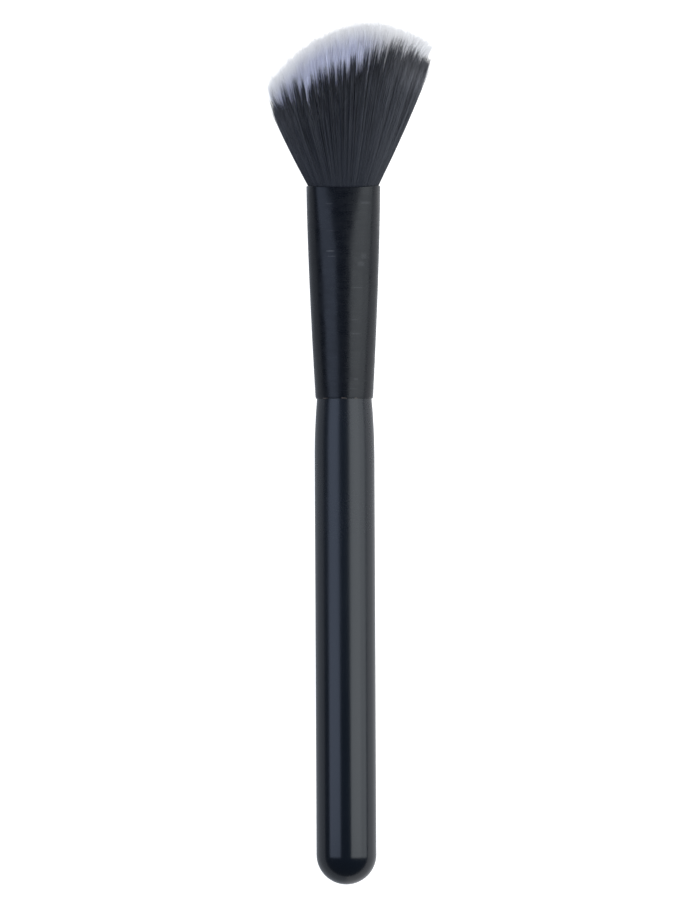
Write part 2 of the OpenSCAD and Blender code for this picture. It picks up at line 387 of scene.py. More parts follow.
def lacquer_finish(handle):
    """Satin lacquer, a shade uneven, and polished by hands towards the butt."""
    recipe = Recipe("satin_lacquer")
    cloud = recipe.noise(90.0, 4.0)
    fine = recipe.noise(2600.0, 2.0)
    polished = 1.0 - recipe.axis("Y").ramp(0.0, 75 * MM)
    recipe.set(
        Base_Color=recipe.mix(cloud, handle.lacquer, tuple(c * 1.25 for c in handle.lacquer)),
        Roughness=handle.roughness - polished * 0.08 + (cloud - 0.5) * 0.05 + (fine - 0.5) * 0.02,
        IOR=1.5,
        Normal=recipe.bump(fine, 0.001 * MM, 0.3))
    return recipe.material


def ferrule_finish(ferrule):
    """Satin black coating over drawn metal, with dents, turned lines, chips and lighter patches, partly
    from rubbing and partly painted highlight.
    """
    recipe = Recipe("ferrule_coating")
    dents = recipe.noise(1.0, 1.0, (300.0, 150.0, 300.0), (2.0, 0.5, 1.0))
    lines = recipe.noise(1.0, 3.0, (90.0, 2400.0, 90.0))
    blotches = recipe.noise(1.0, 3.0, (320.0, 520.0, 320.0), (5.0, 2.0, 0.0))
    x, y, z = (recipe.axis(letter) for letter in "XYZ")
    # Lighter patches of the coat, partly from rubbing and partly painted highlight where they lie in the
    # highlight bands
    scuffs_and_glints = recipe.noise(1.0, 1.0, (190.0, 1100.0, 190.0), (3.3, 0.0, 1.0)).ramp(0.70, 0.78)
    rubbed_and_glinting = scuffs_and_glints * (1.0 - z.ramp(0.0, 3 * MM))
    for across, along, half_width, half_height, strength in RUBBED_GLINTS:
        inside = 1.0 - abs((x - across * MM) / (half_width * MM)).ramp(0.3, 1.0)
        inside *= 1.0 - abs((y - along * MM) / (half_height * MM)).ramp(0.2, 1.0)
        rubbed_and_glinting += inside * z.ramp(0.0, MM) * strength
    rubbed_and_glinting *= 0.55 + lines * 0.9
    near_edge = 1.0 - (y - EDGE_Y).ramp(0.05 * MM, 0.6 * MM)
    chips = (recipe.noise(700.0, 2.0, (1.0, 1.0, 1.0), (0.9, 0.0, 0.7)) * near_edge).ramp(0.48, 0.62)
    coat = recipe.mix(rubbed_and_glinting.at_most(1.0), ferrule.coat, ferrule.rubbed_and_glinting)
    recipe.set(
        Base_Color=recipe.mix(chips, coat, ferrule.bare_metal),
        Roughness=ferrule.roughness + (lines - 0.5) * 0.16 + (blotches - 0.5) * 0.30 + rubbed_and_glinting * 0.05,
        IOR=1.38,
        Normal=recipe.bump(dents + lines * 0.05 + blotches * 0.07, 0.08 * MM))
    return recipe.material


def adhesive_finish(name, clear, cloudy, roughness):
    """Set glue or resin, with a few cloudy places."""
    recipe = Recipe(name)
    cloud = recipe.noise(400.0, 3.0)
    recipe.set(
        Base_Color=recipe.mix(cloud.ramp(0.4, 0.65), clear, cloudy),
        Roughness=roughness + (cloud - 0.5) * 0.2,
        Normal=recipe.bump(cloud, 0.05 * MM, 0.4))
    return recipe.material


def dark_finish(head):
    """Dark slate filament with painted light and shade: lighter tips, most of all on the high side, and
    darker roots by the mouth.
    """
    recipe = Recipe("dark_filament")
    shade = recipe.painted("shade")
    rise = recipe.painted("fade")
    # Painted shade and light: the filaments' own lighter tone is held down near the roots by the mouth,
    # and the tips are painted lighter
    streak_and_painted_light = (shade * (0.1 + rise * 0.9) + rise.ramp(0.7, 1.0) * 0.4).at_most(1.0)
    # Painted light: towards the high side the tips are mixed towards pale grey
    painted_tip_light = rise.ramp(0.74, 0.95) * recipe.axis("X").ramp(7 * MM, 15 * MM) * 0.16
    recipe.set(
        Base_Color=recipe.mix(painted_tip_light, recipe.mix(streak_and_painted_light, head.dark, head.dark_light), head.pale_high),
        Roughness=0.62 - rise * 0.2 + shade * 0.16,
        IOR=1.41)
    return recipe.material


def pale_finish(head):
    """Pale lilac filament that whitens towards the cut, and is greyer on the high side of the head."""
    recipe = Recipe("pale_filament")
    shade = recipe.painted("shade")
    fade = recipe.painted("fade")
    across = recipe.axis("X")
    greyer = 0.1 * (1.0 - across.ramp(-8 * MM, 3 * MM)) + 0.37 * across.ramp(5 * MM, 15 * MM)
    whiter = (fade.ramp(0.34, 1.12) + (shade - 0.5) * 0.1 - greyer).at_most(1.0)
    low = recipe.mix(across.ramp(2 * MM, 10 * MM), head.pale, head.pale_high)
    recipe.set(
        Base_Color=recipe.mix(whiter, low, head.pale_tip),
        Roughness=0.55 + shade * 0.12,
        IOR=1.45,
        Subsurface_Weight=0.6,
        Subsurface_Radius=(1.0, 1.0, 1.0),
        Subsurface_Scale=0.15 * MM)
    return recipe.material


def core_finish(head):
    """What shows between the filaments: dark low down, pale higher up, and white on top, a painted light
    that lifts the shade deep among the pale filaments.
    """
    recipe = Recipe("packed_filament")
    across = recipe.axis("X")
    along = recipe.axis("Y") - MOUTH_Y
    low_side = along - across * DARK_LOW_SLOPE - (head.dark_low - 1.5 * MM)
    high_side = along + across * DARK_HIGH_SLOPE - (head.dark_high - 1.5 * MM)
    pale_part = (low_side.ramp(-MM, MM) + high_side.ramp(-MM, MM)).at_most(1.0)
    low_top = along - across * LOW_SLOPE - (head.low_cut - head.core_depth)
    high_top = along + across * HIGH_SLOPE - (head.high_cut - head.core_depth)
    # Painted light: the top of the core takes the white of the tips, lighter than filaments this deep
    top = (low_top.ramp(-3 * MM, -0.2 * MM) + high_top.ramp(-3 * MM, -0.2 * MM)).at_most(1.0)
    fibres = recipe.noise(1.0, 2.0, (6000.0, 150.0, 6000.0))
    side = recipe.mix(pale_part, head.dark, head.pale)
    recipe.set(
        Base_Color=recipe.mix(top, side, head.pale_tip),
        Roughness=0.6 + (fibres - 0.5) * 0.2,
        Normal=recipe.bump(fibres, 0.1 * MM, 0.6))
    return recipe.material


# Modelling helpers


def start_clean():
    """Leaves edit mode and deselects everything."""
    if bpy.context.object and bpy.context.object.mode != "OBJECT":
        bpy.ops.object.mode_set(mode="OBJECT")
    bpy.ops.object.select_all(action="DESELECT")


def loft(name, rings, sides=TUBE_SIDES):
    """A tube of ovals along the brush, each (x, y, half width, half depth), with both ends open."""
    start_clean()
    x, y, wide, deep = rings[0]
    bpy.ops.mesh.primitive_circle_add(
        vertices=sides, radius=1.0, fill_type="NOTHING", location=(x, y, 0.0),
        rotation=(math.pi / 2, 0.0, 0.0))
    piece = bpy.context.object
    piece.name = piece.data.name = name
    bpy.ops.object.transform_apply(location=True, rotation=True, scale=True)
    bpy.ops.object.mode_set(mode="EDIT")
    bpy.ops.mesh.select_all(action="SELECT")
    bpy.ops.transform.resize(value=(wide, 1.0, deep), center_override=(x, y, 0.0))
    for next_x, next_y, next_wide, next_deep in rings[1:]:
        step = (next_x - x, next_y - y, 0.0)
        bpy.ops.mesh.extrude_region_move(TRANSFORM_OT_translate={"value": step})
        x, y = next_x, next_y
        bpy.ops.transform.resize(
            value=(next_wide / wide, 1.0, next_deep / deep), center_override=(x, y, 0.0))
        wide, deep = next_wide, next_deep
    return piece


def close_in_pole(distance):
    """Draws the selected last ring of a loft together to one point, that far along the brush."""
    bpy.ops.mesh.extrude_region_move(TRANSFORM_OT_translate={"value": (0.0, distance, 0.0)})
    bpy.ops.mesh.merge(type="CENTER")


def select_open_edges():
    """Selects the edges of the open ends."""
    bpy.ops.mesh.select_all(action="DESELECT")
    bpy.ops.mesh.select_non_manifold(
        extend=False, use_wire=False, use_boundary=True, use_multi_face=False)


def face_outwards(piece, angle=math.radians(35)):
    """Closes the edit, turns the faces outwards and smooths all but the sharp edges."""
    bpy.ops.mesh.select_all(action="SELECT")
    bpy.ops.mesh.normals_make_consistent(inside=False)
    bpy.ops.object.mode_set(mode="OBJECT")
    bpy.ops.object.shade_smooth_by_angle(angle=angle)


def finish_piece(piece, material, slot, *nodes):
    """Gives a piece its finish and the body it moves with, and hides the solids that it stands for."""
    piece.data.materials.clear()
    piece.data.materials.append(material)
    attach(piece, BODY)
    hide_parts(*nodes)


def ferrule_half(ferrule, height):
    """Half the outside width and depth of the ferrule, at a height above its rolled edge."""
    part = min(1.0, max(0.0, height / (MOUTH_Y - EDGE_Y)))
    widened = 1.0 - (1.0 - part) ** ferrule.widen_power
    rolled = ferrule.roll_in * max(0.0, 1.0 - height / ferrule.roll_length)
    radius = ferrule.round_radius
    wide = radius + (ferrule.mouth_half_width - radius) * widened
    deep = radius + (ferrule.mouth_half_depth - radius) * widened
    return wide - rolled, deep - rolled


def flattened(part, flatness):
    """The height of an oval's outline at a part of its half depth, with its broad faces flattened."""
    return (1.0 + flatness) * part / (1.0 + flatness * part * part)


def press_mouth(piece, ferrule, rings):
    """Presses the broad faces of a tube's mouth flat, which dips its edge in their middle."""
    verts = piece.data.vertices
    places = np.empty(len(verts) * 3, dtype=np.float32)
    verts.foreach_get("co", places)
    places = places.reshape(len(rings), TUBE_SIDES, 3).astype(float)
    for ring, (_, y, _, deep) in zip(places, rings):
        pressed = max(0.0, 1.0 - (MOUTH_Y - y) / ferrule.press_length) ** 2
        part = ring[:, 2] / deep
        ring[:, 1] -= ferrule.mouth_dip * pressed * part * part
        ring[:, 2] = deep * flattened(part, ferrule.mouth_flat * pressed)
    verts.foreach_set("co", places.astype(np.float32).ravel())
    piece.data.update()


def soft_min(first, second, softness):
    """The lower of two heights, with the corner between them rounded."""
    return -softness * np.logaddexp(-first / softness, -second / softness)


class HeadShape:
    """Where the bristles run. u and v are a root's place in the mouth, from -1 to 1 across and deep, and
    heights start at the mouth."""

    def __init__(self, settings):
        head, ferrule = settings.head, settings.ferrule
        self.head = head
        self.mouth_flat = ferrule.mouth_flat
        clear = ferrule.wall + SEAT_GAP
        self.mouth_wide = ferrule.mouth_half_width - clear
        self.mouth_deep = ferrule.mouth_half_depth - clear
        low, high = -math.tan(head.flare_low), math.tan(head.flare_high)
        self.lean_mid = (high + low) / 2
        self.lean_half = (high - low) / 2
        self.relaxed = 8 * MM

    def carried(self, height):
        """How far a lean of 1 at the mouth has carried a filament at a height."""
        return height * (1.0 - self.head.straightening * height / (2 * self.head.crown_cut))

    def half_depth(self, height):
        """Half the depth of the head."""
        left = 1.0 - np.clip(height / self.head.belly, 0.0, 1.0)
        return self.mouth_deep + (self.head.thickness / 2 - self.mouth_deep) * (1.0 - left * left)

    def across(self, u, height):
        """Place across the head."""
        return self.mouth_wide * u + (self.lean_mid + self.lean_half * u) * self.carried(height)

    def point(self, u, v, height):
        """Places in the frame, pressed softly against the surface that the brush lies on."""
        x = self.across(u, height.clip(min=0.0))
        flatness = self.mouth_flat * np.clip(1.0 - height / self.relaxed, 0.0, 1.0) ** 2
        z = flattened(v, flatness) * self.half_depth(height)
        press = 0.2 * MM
        z = TABLE_Z + press * np.logaddexp(0.0, (z - TABLE_Z) / press)
        return np.stack([x, MOUTH_Y + height + 0.0 * x, z + 0.0 * x], axis=-1)

    def cut_height(self, u):
        """Height of the cut in the middle of the head's depth."""
        head = self.head
        low = head.low_cut + head.low_cut_rise * u
        crown = head.crown_cut + head.crown_cut_rise * u
        high = head.high_cut - head.high_cut_fall * u
        return soft_min(soft_min(low, crown, head.softness), high, head.softness)

    def dark_height(self, u):
        """Height of the dark bristles."""
        head = self.head
        low = head.dark_low + head.dark_low_rise * u
        high = head.dark_high - head.dark_high_fall * u
        return soft_min(low, high, head.softness)

    def tip_height(self, u, v):
        """Height of the pale tips: the rim round the outside, and the cut in the middle."""
        rim = np.minimum(self.dark_height(u) + self.head.rim, self.cut_height(u))
        reach = np.maximum(0.001, 1.0 - u * u)
        dome = np.clip(1.0 - v * v / reach, 0.0, 1.0) ** DOME_POWER
        return rim + (self.cut_height(u) - rim) * dome

    def side_length(self, u):
        """How much further the pale filaments stand out at the two sides."""
        more = 0.9 * MM * smooth_step((np.abs(u) - 0.5) / 0.5) + 0.3 * MM * smooth_step(-u / 0.5)
        more += 0.75 * MM * smooth_step((u - 0.2) / 0.4) - 0.4 * MM * smooth_step((u - 0.85) / 0.15)
        return more

    def pale_spread(self, u, height):
        """The shares of its place across and deep that a pale filament keeps to, less among dark ones."""
        above_dark = height - self.dark_height(u)
        across = smooth_step((above_dark + 2.5 * MM) / (7 * MM))
        deep = smooth_step((above_dark + 1 * MM) / (8 * MM))
        return 0.86 + (0.12 + 0.045 * u) * across, 0.86 + (0.145 + 0.045 * u) * deep


def smooth_step(values):
    """0 below 0, 1 above 1 and smooth between."""
    values = np.clip(values, 0.0, 1.0)
    return values * values * (3.0 - 2.0 * values)


def scatter_disc(count, inner, outer, rng):
    """Even random places between two rings of the unit disc."""
    radius = np.sqrt(rng.uniform(inner * inner, outer * outer, count))
    turn = rng.uniform(0.0, 2 * math.pi, count)
    return radius * np.cos(turn), radius * np.sin(turn)


def scatter_ring(count, rng):
    """Random places round the edge of the unit disc, no two too near each other."""
    turn = 2 * math.pi * (np.arange(count) + rng.uniform(-0.35, 0.35, count)) / count
    radius = rng.uniform(0.88, 0.98, count)
    return radius * np.cos(turn), radius * np.sin(turn)


def nearest(shape, u, v, height, lock_u, lock_v):
    """For each strand the number of the nearest lock at the tips, and how far to the side it is."""
    own = shape.point(u, v, height)
    lock = shape.point(lock_u, lock_v, np.full(len(lock_u), height.mean()))
    sideways = own[:, None, 0] - lock[:, 0]
    gap = sideways ** 2 + (DEPTH_WEIGHT * (own[:, None, 2] - lock[:, 2])) ** 2
    found = gap.argmin(axis=1)
    return found, np.sqrt(gap[np.arange(len(u)), found])


def kept_out(u, v, lock_u, lock_v):
    """Where each strand's lock would be if it stood nearly as far out as the strand does."""
    own, lock = np.hypot(u, v), np.hypot(lock_u, lock_v)
    out = (0.8 * own + 0.2 * lock) / np.maximum(lock, 0.01)
    return lock_u * out, lock_v * out


def strand_faces(segments):
    """The corners of one strand's faces: a cap, walls and a point, with three corners to a ring."""
    faces = [(0, 1, 2)]
    for ring in range(segments - 1):
        for side in range(3):
            here, beside = 3 * ring + side, 3 * ring + (side + 1) % 3
            faces.append((here, here + 3, beside + 3, beside))
    last = 3 * (segments - 1)
    faces.extend((last + side, last + 3, last + (side + 1) % 3) for side in range(3))
    return faces


def strand_map(faces, segments):
    """Where each corner of one strand's faces lies in its cell of the UV map, inside a margin."""
    places = []
    for face in faces:
        sides = [corner % 3 for corner in face if corner < 3 * segments]
        wraps = max(sides) - min(sides) == 2 and len(face) > 3
        for corner in face:
            ring, side = divmod(corner, 3)
            if ring == segments:
                side = min(sides) + 0.5
            elif wraps and side == 0:
                side = 3
            places.append((0.1 + 0.8 * side / 3, 0.02 + 0.96 * ring / segments))
    return np.array(places)


def strands_mesh(name, paths, radius, shade, fade, rng):
    """Tapered three-sided strands along paths of shape (strands, points, 3). Each strand has a shade,
    and each point has a fade, which is 1 where the tips are."""
    count, points = paths.shape[:2]
    segments = points - 1
    run = paths[:, :, 1] - paths[:, :1, 1]
    rise = run / run[:, -1:]
    taper = (1.0 - TAPER * rise[:, :-1] ** 3)[:, :, None]
    turn = rng.uniform(0.0, 2 * math.pi, (count, 1, 1)) + np.arange(3) * 2 * math.pi / 3
    thick = radius[:, None, None] * taper
    ring = np.zeros((count, segments, 3, 3))
    ring[..., 0] = thick * np.cos(turn)
    ring[..., 2] = thick * np.sin(turn)
    ring += paths[:, :-1, None, :]
    per_strand = 3 * segments + 1
    verts = np.concatenate([ring.reshape(count, -1, 3), paths[:, -1:, :]], axis=1)
    faces = strand_faces(segments)
    corners = np.array([corner for face in faces for corner in face])
    starts = np.cumsum([0] + [len(face) for face in faces])
    loops = (corners + per_strand * np.arange(count)[:, None]).ravel()
    loop_starts = (starts[:-1] + starts[-1] * np.arange(count)[:, None]).ravel()

    mesh = bpy.data.meshes.new(name)
    mesh.vertices.add(count * per_strand)
    mesh.vertices.foreach_set("co", verts.astype(np.float32).ravel())
    mesh.loops.add(len(loops))
    mesh.loops.foreach_set("vertex_index", loops.astype(np.int32))
    mesh.polygons.add(len(loop_starts))
    mesh.polygons.foreach_set("loop_start", loop_starts.astype(np.int32))
    mesh.update(calc_edges=True)
    mesh.polygons.foreach_set("use_smooth", np.ones(len(loop_starts), dtype=bool))

    per_point = np.concatenate([np.repeat(fade[:, :-1], 3, axis=1), fade[:, -1:]], axis=1)
    paint_points(mesh, "shade", np.repeat(shade, per_strand))
    paint_points(mesh, "fade", per_point.ravel())

    cell_height = 9.0
    columns = math.ceil(math.sqrt(count * cell_height))
    rows = math.ceil(count / columns)
    order = np.arange(count)
    cell = np.stack([order % columns, order // columns], axis=-1)[:, None, :]
    places = (cell + strand_map(faces, segments)) / np.array([columns, rows])
    layer = mesh.uv_layers.new(name="OFBake")
    layer.data.foreach_set("uv", places.astype(np.float32).ravel())

    piece = bpy.data.objects.new(name, mesh)
    bpy.context.scene.collection.objects.link(piece)
    return piece


def paint_points(mesh, name, values):
    """Keeps one number on each point of a mesh."""
    mesh.attributes.new(name, "FLOAT", "POINT").data.foreach_set("value", values.astype(np.float32))


def strand_paths(shape, u, v, spread, height, lock_u, lock_v, gather, stray):
    """Paths of strands through some heights. spread is the shares of its place across and deep that each
    keeps to, gather is how far it goes over to its lock by the tip, and stray is how far off it ends."""
    tip = height[:, -1]
    rise = (height - height[:, :1]) / (height[:, -1:] - height[:, :1])
    across, deep = spread
    own = shape.point(u[:, None] * across, v[:, None] * deep, height)
    lock = shape.point(lock_u[:, None] * across, lock_v[:, None] * deep, height)
    gone = smooth_step((height - tip[:, None] + GATHER_LENGTH) / GATHER_LENGTH) * gather[:, None]
    paths = own + (lock - own) * gone[..., None]
    paths += (stray * (1.0, 0.0, 1.0))[:, None, :] * (rise ** 2)[..., None]
    paths[..., 2] = np.maximum(paths[..., 2], TABLE_Z + TABLE_GAP)
    return paths


# Pieces


class BRUSH_OT_handle(bpy.types.Operator):
    """Turn the handle, with its rounded butt, neck and tenon"""

    bl_idname = "blush_brush.handle"
    bl_label = "Handle"

    def execute(self, context):
        handle = context.scene.blush_brush.handle
        radius = handle.grip_radius
        neck_start = EDGE_Y - handle.neck_length
        tenon_end = HANDLE_HIGH[1]
        profile = [
            (tenon_end, handle.tenon_radius - handle.tenon_chamfer),
            (tenon_end - handle.tenon_chamfer, handle.tenon_radius),
            (EDGE_Y, handle.tenon_radius),
        ]
        for step in range(NECK_RINGS + 1):
            left = 1.0 - step / NECK_RINGS
            narrowed = radius + (handle.neck_radius - radius) * left * left
            profile.append((neck_start + handle.neck_length * left, narrowed))
        for step in range(1, GRIP_RINGS + 1):
            profile.append((neck_start * (1.0 - step / GRIP_RINGS), radius))
        for step in range(1, BUTT_RINGS):
            angle = math.radians(90 * step / BUTT_RINGS)
            profile.append((-radius * math.sin(angle), radius * math.cos(angle)))
        piece = loft("turned_handle", [(0.0, y, r, r) for y, r in profile])
        close_in_pole(-radius - profile[-1][0])
        select_open_edges()
        bpy.ops.mesh.edge_face_add()
        face_outwards(piece)
        finish_piece(piece, lacquer_finish(handle), "lacquered_wood", "handle")
        return {"FINISHED"}


class BRUSH_OT_ferrule(bpy.types.Operator):
    """Draw the ferrule, round at the handle and oval at the mouth"""

    bl_idname = "blush_brush.ferrule"
    bl_label = "Ferrule"

    def execute(self, context):
        ferrule = context.scene.blush_brush.ferrule
        full = MOUTH_Y - EDGE_Y
        lip = ferrule.wall / 2
        plain_length = full - lip - ferrule.roll_length
        heights = [0.0, ferrule.roll_length * 0.3, ferrule.roll_length]
        for step in range(1, FERRULE_RINGS + 1):
            heights.append(ferrule.roll_length + plain_length * step / FERRULE_RINGS)
        outside = [(h, 0.0) for h in heights]
        rounding = [math.radians(180 * step / LIP_RINGS) for step in range(1, LIP_RINGS)]
        rim = [(full - lip + lip * math.sin(a), lip - lip * math.cos(a)) for a in rounding]
        inside = [(h, ferrule.wall) for h in reversed(heights)]
        rings = []
        for height, inset in outside + rim + inside:
            wide, deep = ferrule_half(ferrule, height)
            rings.append((0.0, EDGE_Y + height, wide - inset, deep - inset))
        piece = loft("ferrule_tube", rings)
        bpy.ops.object.mode_set(mode="OBJECT")
        press_mouth(piece, ferrule, rings)
        bpy.ops.object.mode_set(mode="EDIT")
        select_open_edges()
        bpy.ops.mesh.bridge_edge_loops()
        face_outwards(piece, math.radians(50))
        finish_piece(piece, ferrule_finish(ferrule), "black_ferrule", "ferrule")
        return {"FINISHED"}


class BRUSH_OT_binding(bpy.types.Operator):
    """Finish the glue and the resin that lie inside the ferrule"""

    bl_idname = "blush_brush.binding"
    bl_label = "Glue and Resin"

    def execute(self, context):
        glue = adhesive_finish("set_glue", *GLUE)
        resin = adhesive_finish("amber_resin", *RESIN)
        for node, material in (("handle_glue", glue), ("root_resin", resin)):
            piece = bpy.data.objects[node]
            for held in piece.material_slots:
                held.material = material
        return {"FINISHED"}


class BRUSH_OT_core(bpy.types.Operator):
    """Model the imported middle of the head, which closes the gaps between filaments"""

    bl_idname = "blush_brush.core"
    bl_label = "Packed Core"

    def execute(self, context):
        shape = HeadShape(context.scene.blush_brush)
        head = shape.head
        rings = []
        for height in np.linspace(-CORE_ROOT, head.crown_cut, CORE_RINGS):
            out = max(height, 0.0)
            edges = shape.across(np.array([-1.0, 1.0]), out)
            middle, wide = edges.mean(), (edges[1] - edges[0]) / 2
            deep = min(shape.half_depth(out), -TABLE_Z)
            rings.append((middle, MOUTH_Y + height, wide * CORE_SHARE, deep * CORE_SHARE))
        piece = loft("packed_core", rings, CORE_SIDES)
        self.slice_off(head.low_cut - head.core_depth, LOW_SLOPE, -1.0)
        self.slice_off(head.high_cut - head.core_depth, HIGH_SLOPE, 1.0)
        bpy.ops.mesh.select_all(action="SELECT")
        bpy.ops.mesh.fill_holes(sides=0)
        face_outwards(piece)
        finish_piece(piece, core_finish(head), "pale_filament", "pale_bristles")
        return {"FINISHED"}

    @staticmethod
    def slice_off(height, slope, side):
        """Cuts the core under one facet of the tips, along a plane that falls towards that side."""
        normal = (side * slope, 1.0, 0.0)
        bpy.ops.mesh.select_all(action="SELECT")
        bpy.ops.mesh.bisect(
            plane_co=(0.0, MOUTH_Y + height, 0.0), plane_no=normal, use_fill=True, clear_outer=True)


class BRUSH_OT_dark_bristles(bpy.types.Operator):
    """Grow the dark filaments, whose locks end in uneven points"""

    bl_idname = "blush_brush.dark_bristles"
    bl_label = "Dark Bristles"

    def execute(self, context):
        shape = HeadShape(context.scene.blush_brush)
        head = shape.head
        rng = np.random.default_rng(head.seed)
        material = dark_finish(head)
        count, locks = head.dark_count, head.dark_locks
        u, v = scatter_disc(count, *DARK_RING, rng)
        lock_u, lock_v = scatter_ring(locks, rng)
        spiky = rng.uniform(0.0, 1.0, locks) < SPIKY_SHARE
        climb = rng.uniform(*SPIKE_CLIMB, locks) * MM
        lock_lift = rng.normal(0.0, LOCK_LIFT, locks)
        lock_shade = rng.uniform(0.0, 1.0, locks) ** 1.6
        lock_lean = rng.normal(0.0, LOCK_LEAN, (locks, 3))
        level = shape.dark_height(u)
        lock, away = nearest(shape, u, v, level, lock_u, lock_v)
        in_spike = spiky[lock] & (away < SPIKE_HALF_WIDTH)
        edge = level + np.interp(u, *DARK_LIFT) * MM + lock_lift[lock]
        soft = edge + head.dark_soft * (rng.exponential(1.0, count) - EDGE_DEPTH)
        spike = edge + climb[lock] - SPIKE_SLOPE * away - rng.exponential(SPIKE_FRAY, count)
        tip = np.where(in_spike, spike, soft)
        tip = np.minimum(tip, shape.cut_height(u) - rng.uniform(0.0, BELOW_CUT, count))
        gather = np.where(in_spike, rng.uniform(0.75, 1.0, count), rng.uniform(0.0, 0.35, count))
        direction = rng.normal(0.0, 1.0, (count, 3))
        stray = lock_lean[lock] + direction * rng.gamma(STRAY_SHAPE, DARK_STRAY, (count, 1))
        own_shade = rng.uniform(0.0, 1.0, count) ** 2
        # Painted light: the shade is raised on both sides of the head, most of all on the high side, so
        # those filaments are lighter
        sides = np.where(u > 0.0, 0.95 * u ** 2, 0.8 * u ** 4)
        shade = np.clip(0.3 * lock_shade[lock] + 0.36 * own_shade + sides, 0.0, 1.0)

        foot, root = 0.05 * MM, -1.2 * MM
        above = foot + (tip[:, None] - foot) * np.linspace(0.0, 1.0, DARK_POINTS - 1)
        height = np.concatenate([np.full((count, 1), root), above], axis=1)
        lock_u, lock_v = kept_out(u, v, lock_u[lock], lock_v[lock])
        paths = strand_paths(shape, u, v, (1.0, 1.0), height, lock_u, lock_v, gather, stray)
        radius = head.filament / 2 * rng.uniform(0.85, 1.15, count)
        fade = np.broadcast_to(np.linspace(0.0, 1.0, DARK_POINTS), height.shape)
        for name, chosen in (("dark_filaments_over", v >= 0.0), ("dark_filaments_under", v < 0.0)):
            piece = strands_mesh(name, paths[chosen], radius[chosen], shade[chosen], fade[chosen], rng)
            finish_piece(piece, material, "dark_filament", "dark_bristles")
        return {"FINISHED"}


class BRUSH_OT_pale_bristles(bpy.types.Operator):
    """Grow the pale filaments, which stand above the dark ones and form the slanted tip"""

    bl_idname = "blush_brush.pale_bristles"
    bl_label = "Pale Bristles"

    def execute(self, context):
        shape = HeadShape(context.scene.blush_brush)
        head = shape.head
        rng = np.random.default_rng(head.seed + 1)
        material = pale_finish(head)
        count, locks = head.pale_count, head.pale_locks
        u, v = scatter_disc(count, 0.0, 1.0, rng)
        lock_u, lock_v = scatter_disc(locks, 0.0, 1.0, rng)
        lock_lift = rng.normal(0.0, LOCK_LIFT, locks)
        lock_shade = rng.uniform(0.0, 1.0, locks)
        level = shape.tip_height(u, v)
        lock, away = nearest(shape, u, v, level, lock_u, lock_v)
        longer = rng.exponential(LONGER, count).clip(max=LONGEST)
        tip = level + lock_lift[lock] - LOCK_SLOPE * away + longer - SET_BACK + shape.side_length(u)
        gather = rng.uniform(0.0, 0.35, count)
        inside = 1.0 - u * u - v * v
        direction = rng.normal(0.0, 1.0, (count, 3))
        reach = rng.gamma(STRAY_SHAPE, PALE_STRAY, count) + INNER_STRAY * inside
        stray = direction * reach[:, None]
        shade = np.clip(0.4 * lock_shade[lock] + 0.6 * rng.uniform(0.0, 1.0, count), 0.0, 1.0)

        below = rng.uniform(8 * MM, 12 * MM, count)
        height = tip[:, None] - below[:, None] * np.linspace(1.0, 0.0, PALE_POINTS)
        lock_u, lock_v = kept_out(u, v, lock_u[lock], lock_v[lock])
        spread = shape.pale_spread(u[:, None], height)
        paths = strand_paths(shape, u, v, spread, height, lock_u, lock_v, gather, stray)
        radius = head.filament / 2 * rng.uniform(0.7, 1.0, count)
        fade = 1.0 - (shape.cut_height(u)[:, None] - height) / FADE_LENGTH
        over, under = v > MIDDLE_DEPTH, v < -MIDDLE_DEPTH
        for name, chosen in (
                ("pale_filaments_over", over),
                ("pale_filaments_between", ~(over | under)),
                ("pale_filaments_under", under)):
            piece = strands_mesh(name, paths[chosen], radius[chosen], shade[chosen], fade[chosen], rng)
            finish_piece(piece, material, "pale_filament", "pale_bristles")
        return {"FINISHED"}


# Studio


# Lights: the two angles off straight up that each fills, its distance, and its two ends along the brush
LEFT_STRIP = (-22.0, -66.0, 0.35, -0.05, 0.32)
RIGHT_STRIP = (18.5, 60.0, 0.30, -0.05, 0.32)
RIGHT_LOW_STRIP = (60.0, 84.0, 0.30, -0.05, 0.32)
RIGHT_LOW_SHARE = 0.76
TOP_FILL = (-28.0, 28.0, 0.7, 0.05, 0.65)


def strip_light(name, radiance, colour, angle_from, angle_to, distance, y_from, y_to):
    """A long softbox that fills the view from the brush between two angles off straight up."""
    middle = math.radians((angle_from + angle_to) / 2)
    half = math.radians(abs(angle_to - angle_from) / 2)
    across = 2 * distance * math.tan(half)
    along = y_to - y_from
    light = bpy.data.lights.new(name, "AREA")
    light.shape = "RECTANGLE"
    light.size = across
    light.size_y = along
    light.color = colour
    light.energy = radiance * math.pi * across * along
    lamp = bpy.data.objects.new(name, light)
    lamp.location = (distance * math.sin(middle), (y_from + y_to) / 2, distance * math.cos(middle))
    lamp.rotation_euler = (0.0, middle, 0.0)
    lamp.visible_camera = False
    bpy.context.scene.collection.objects.link(lamp)
    return lamp


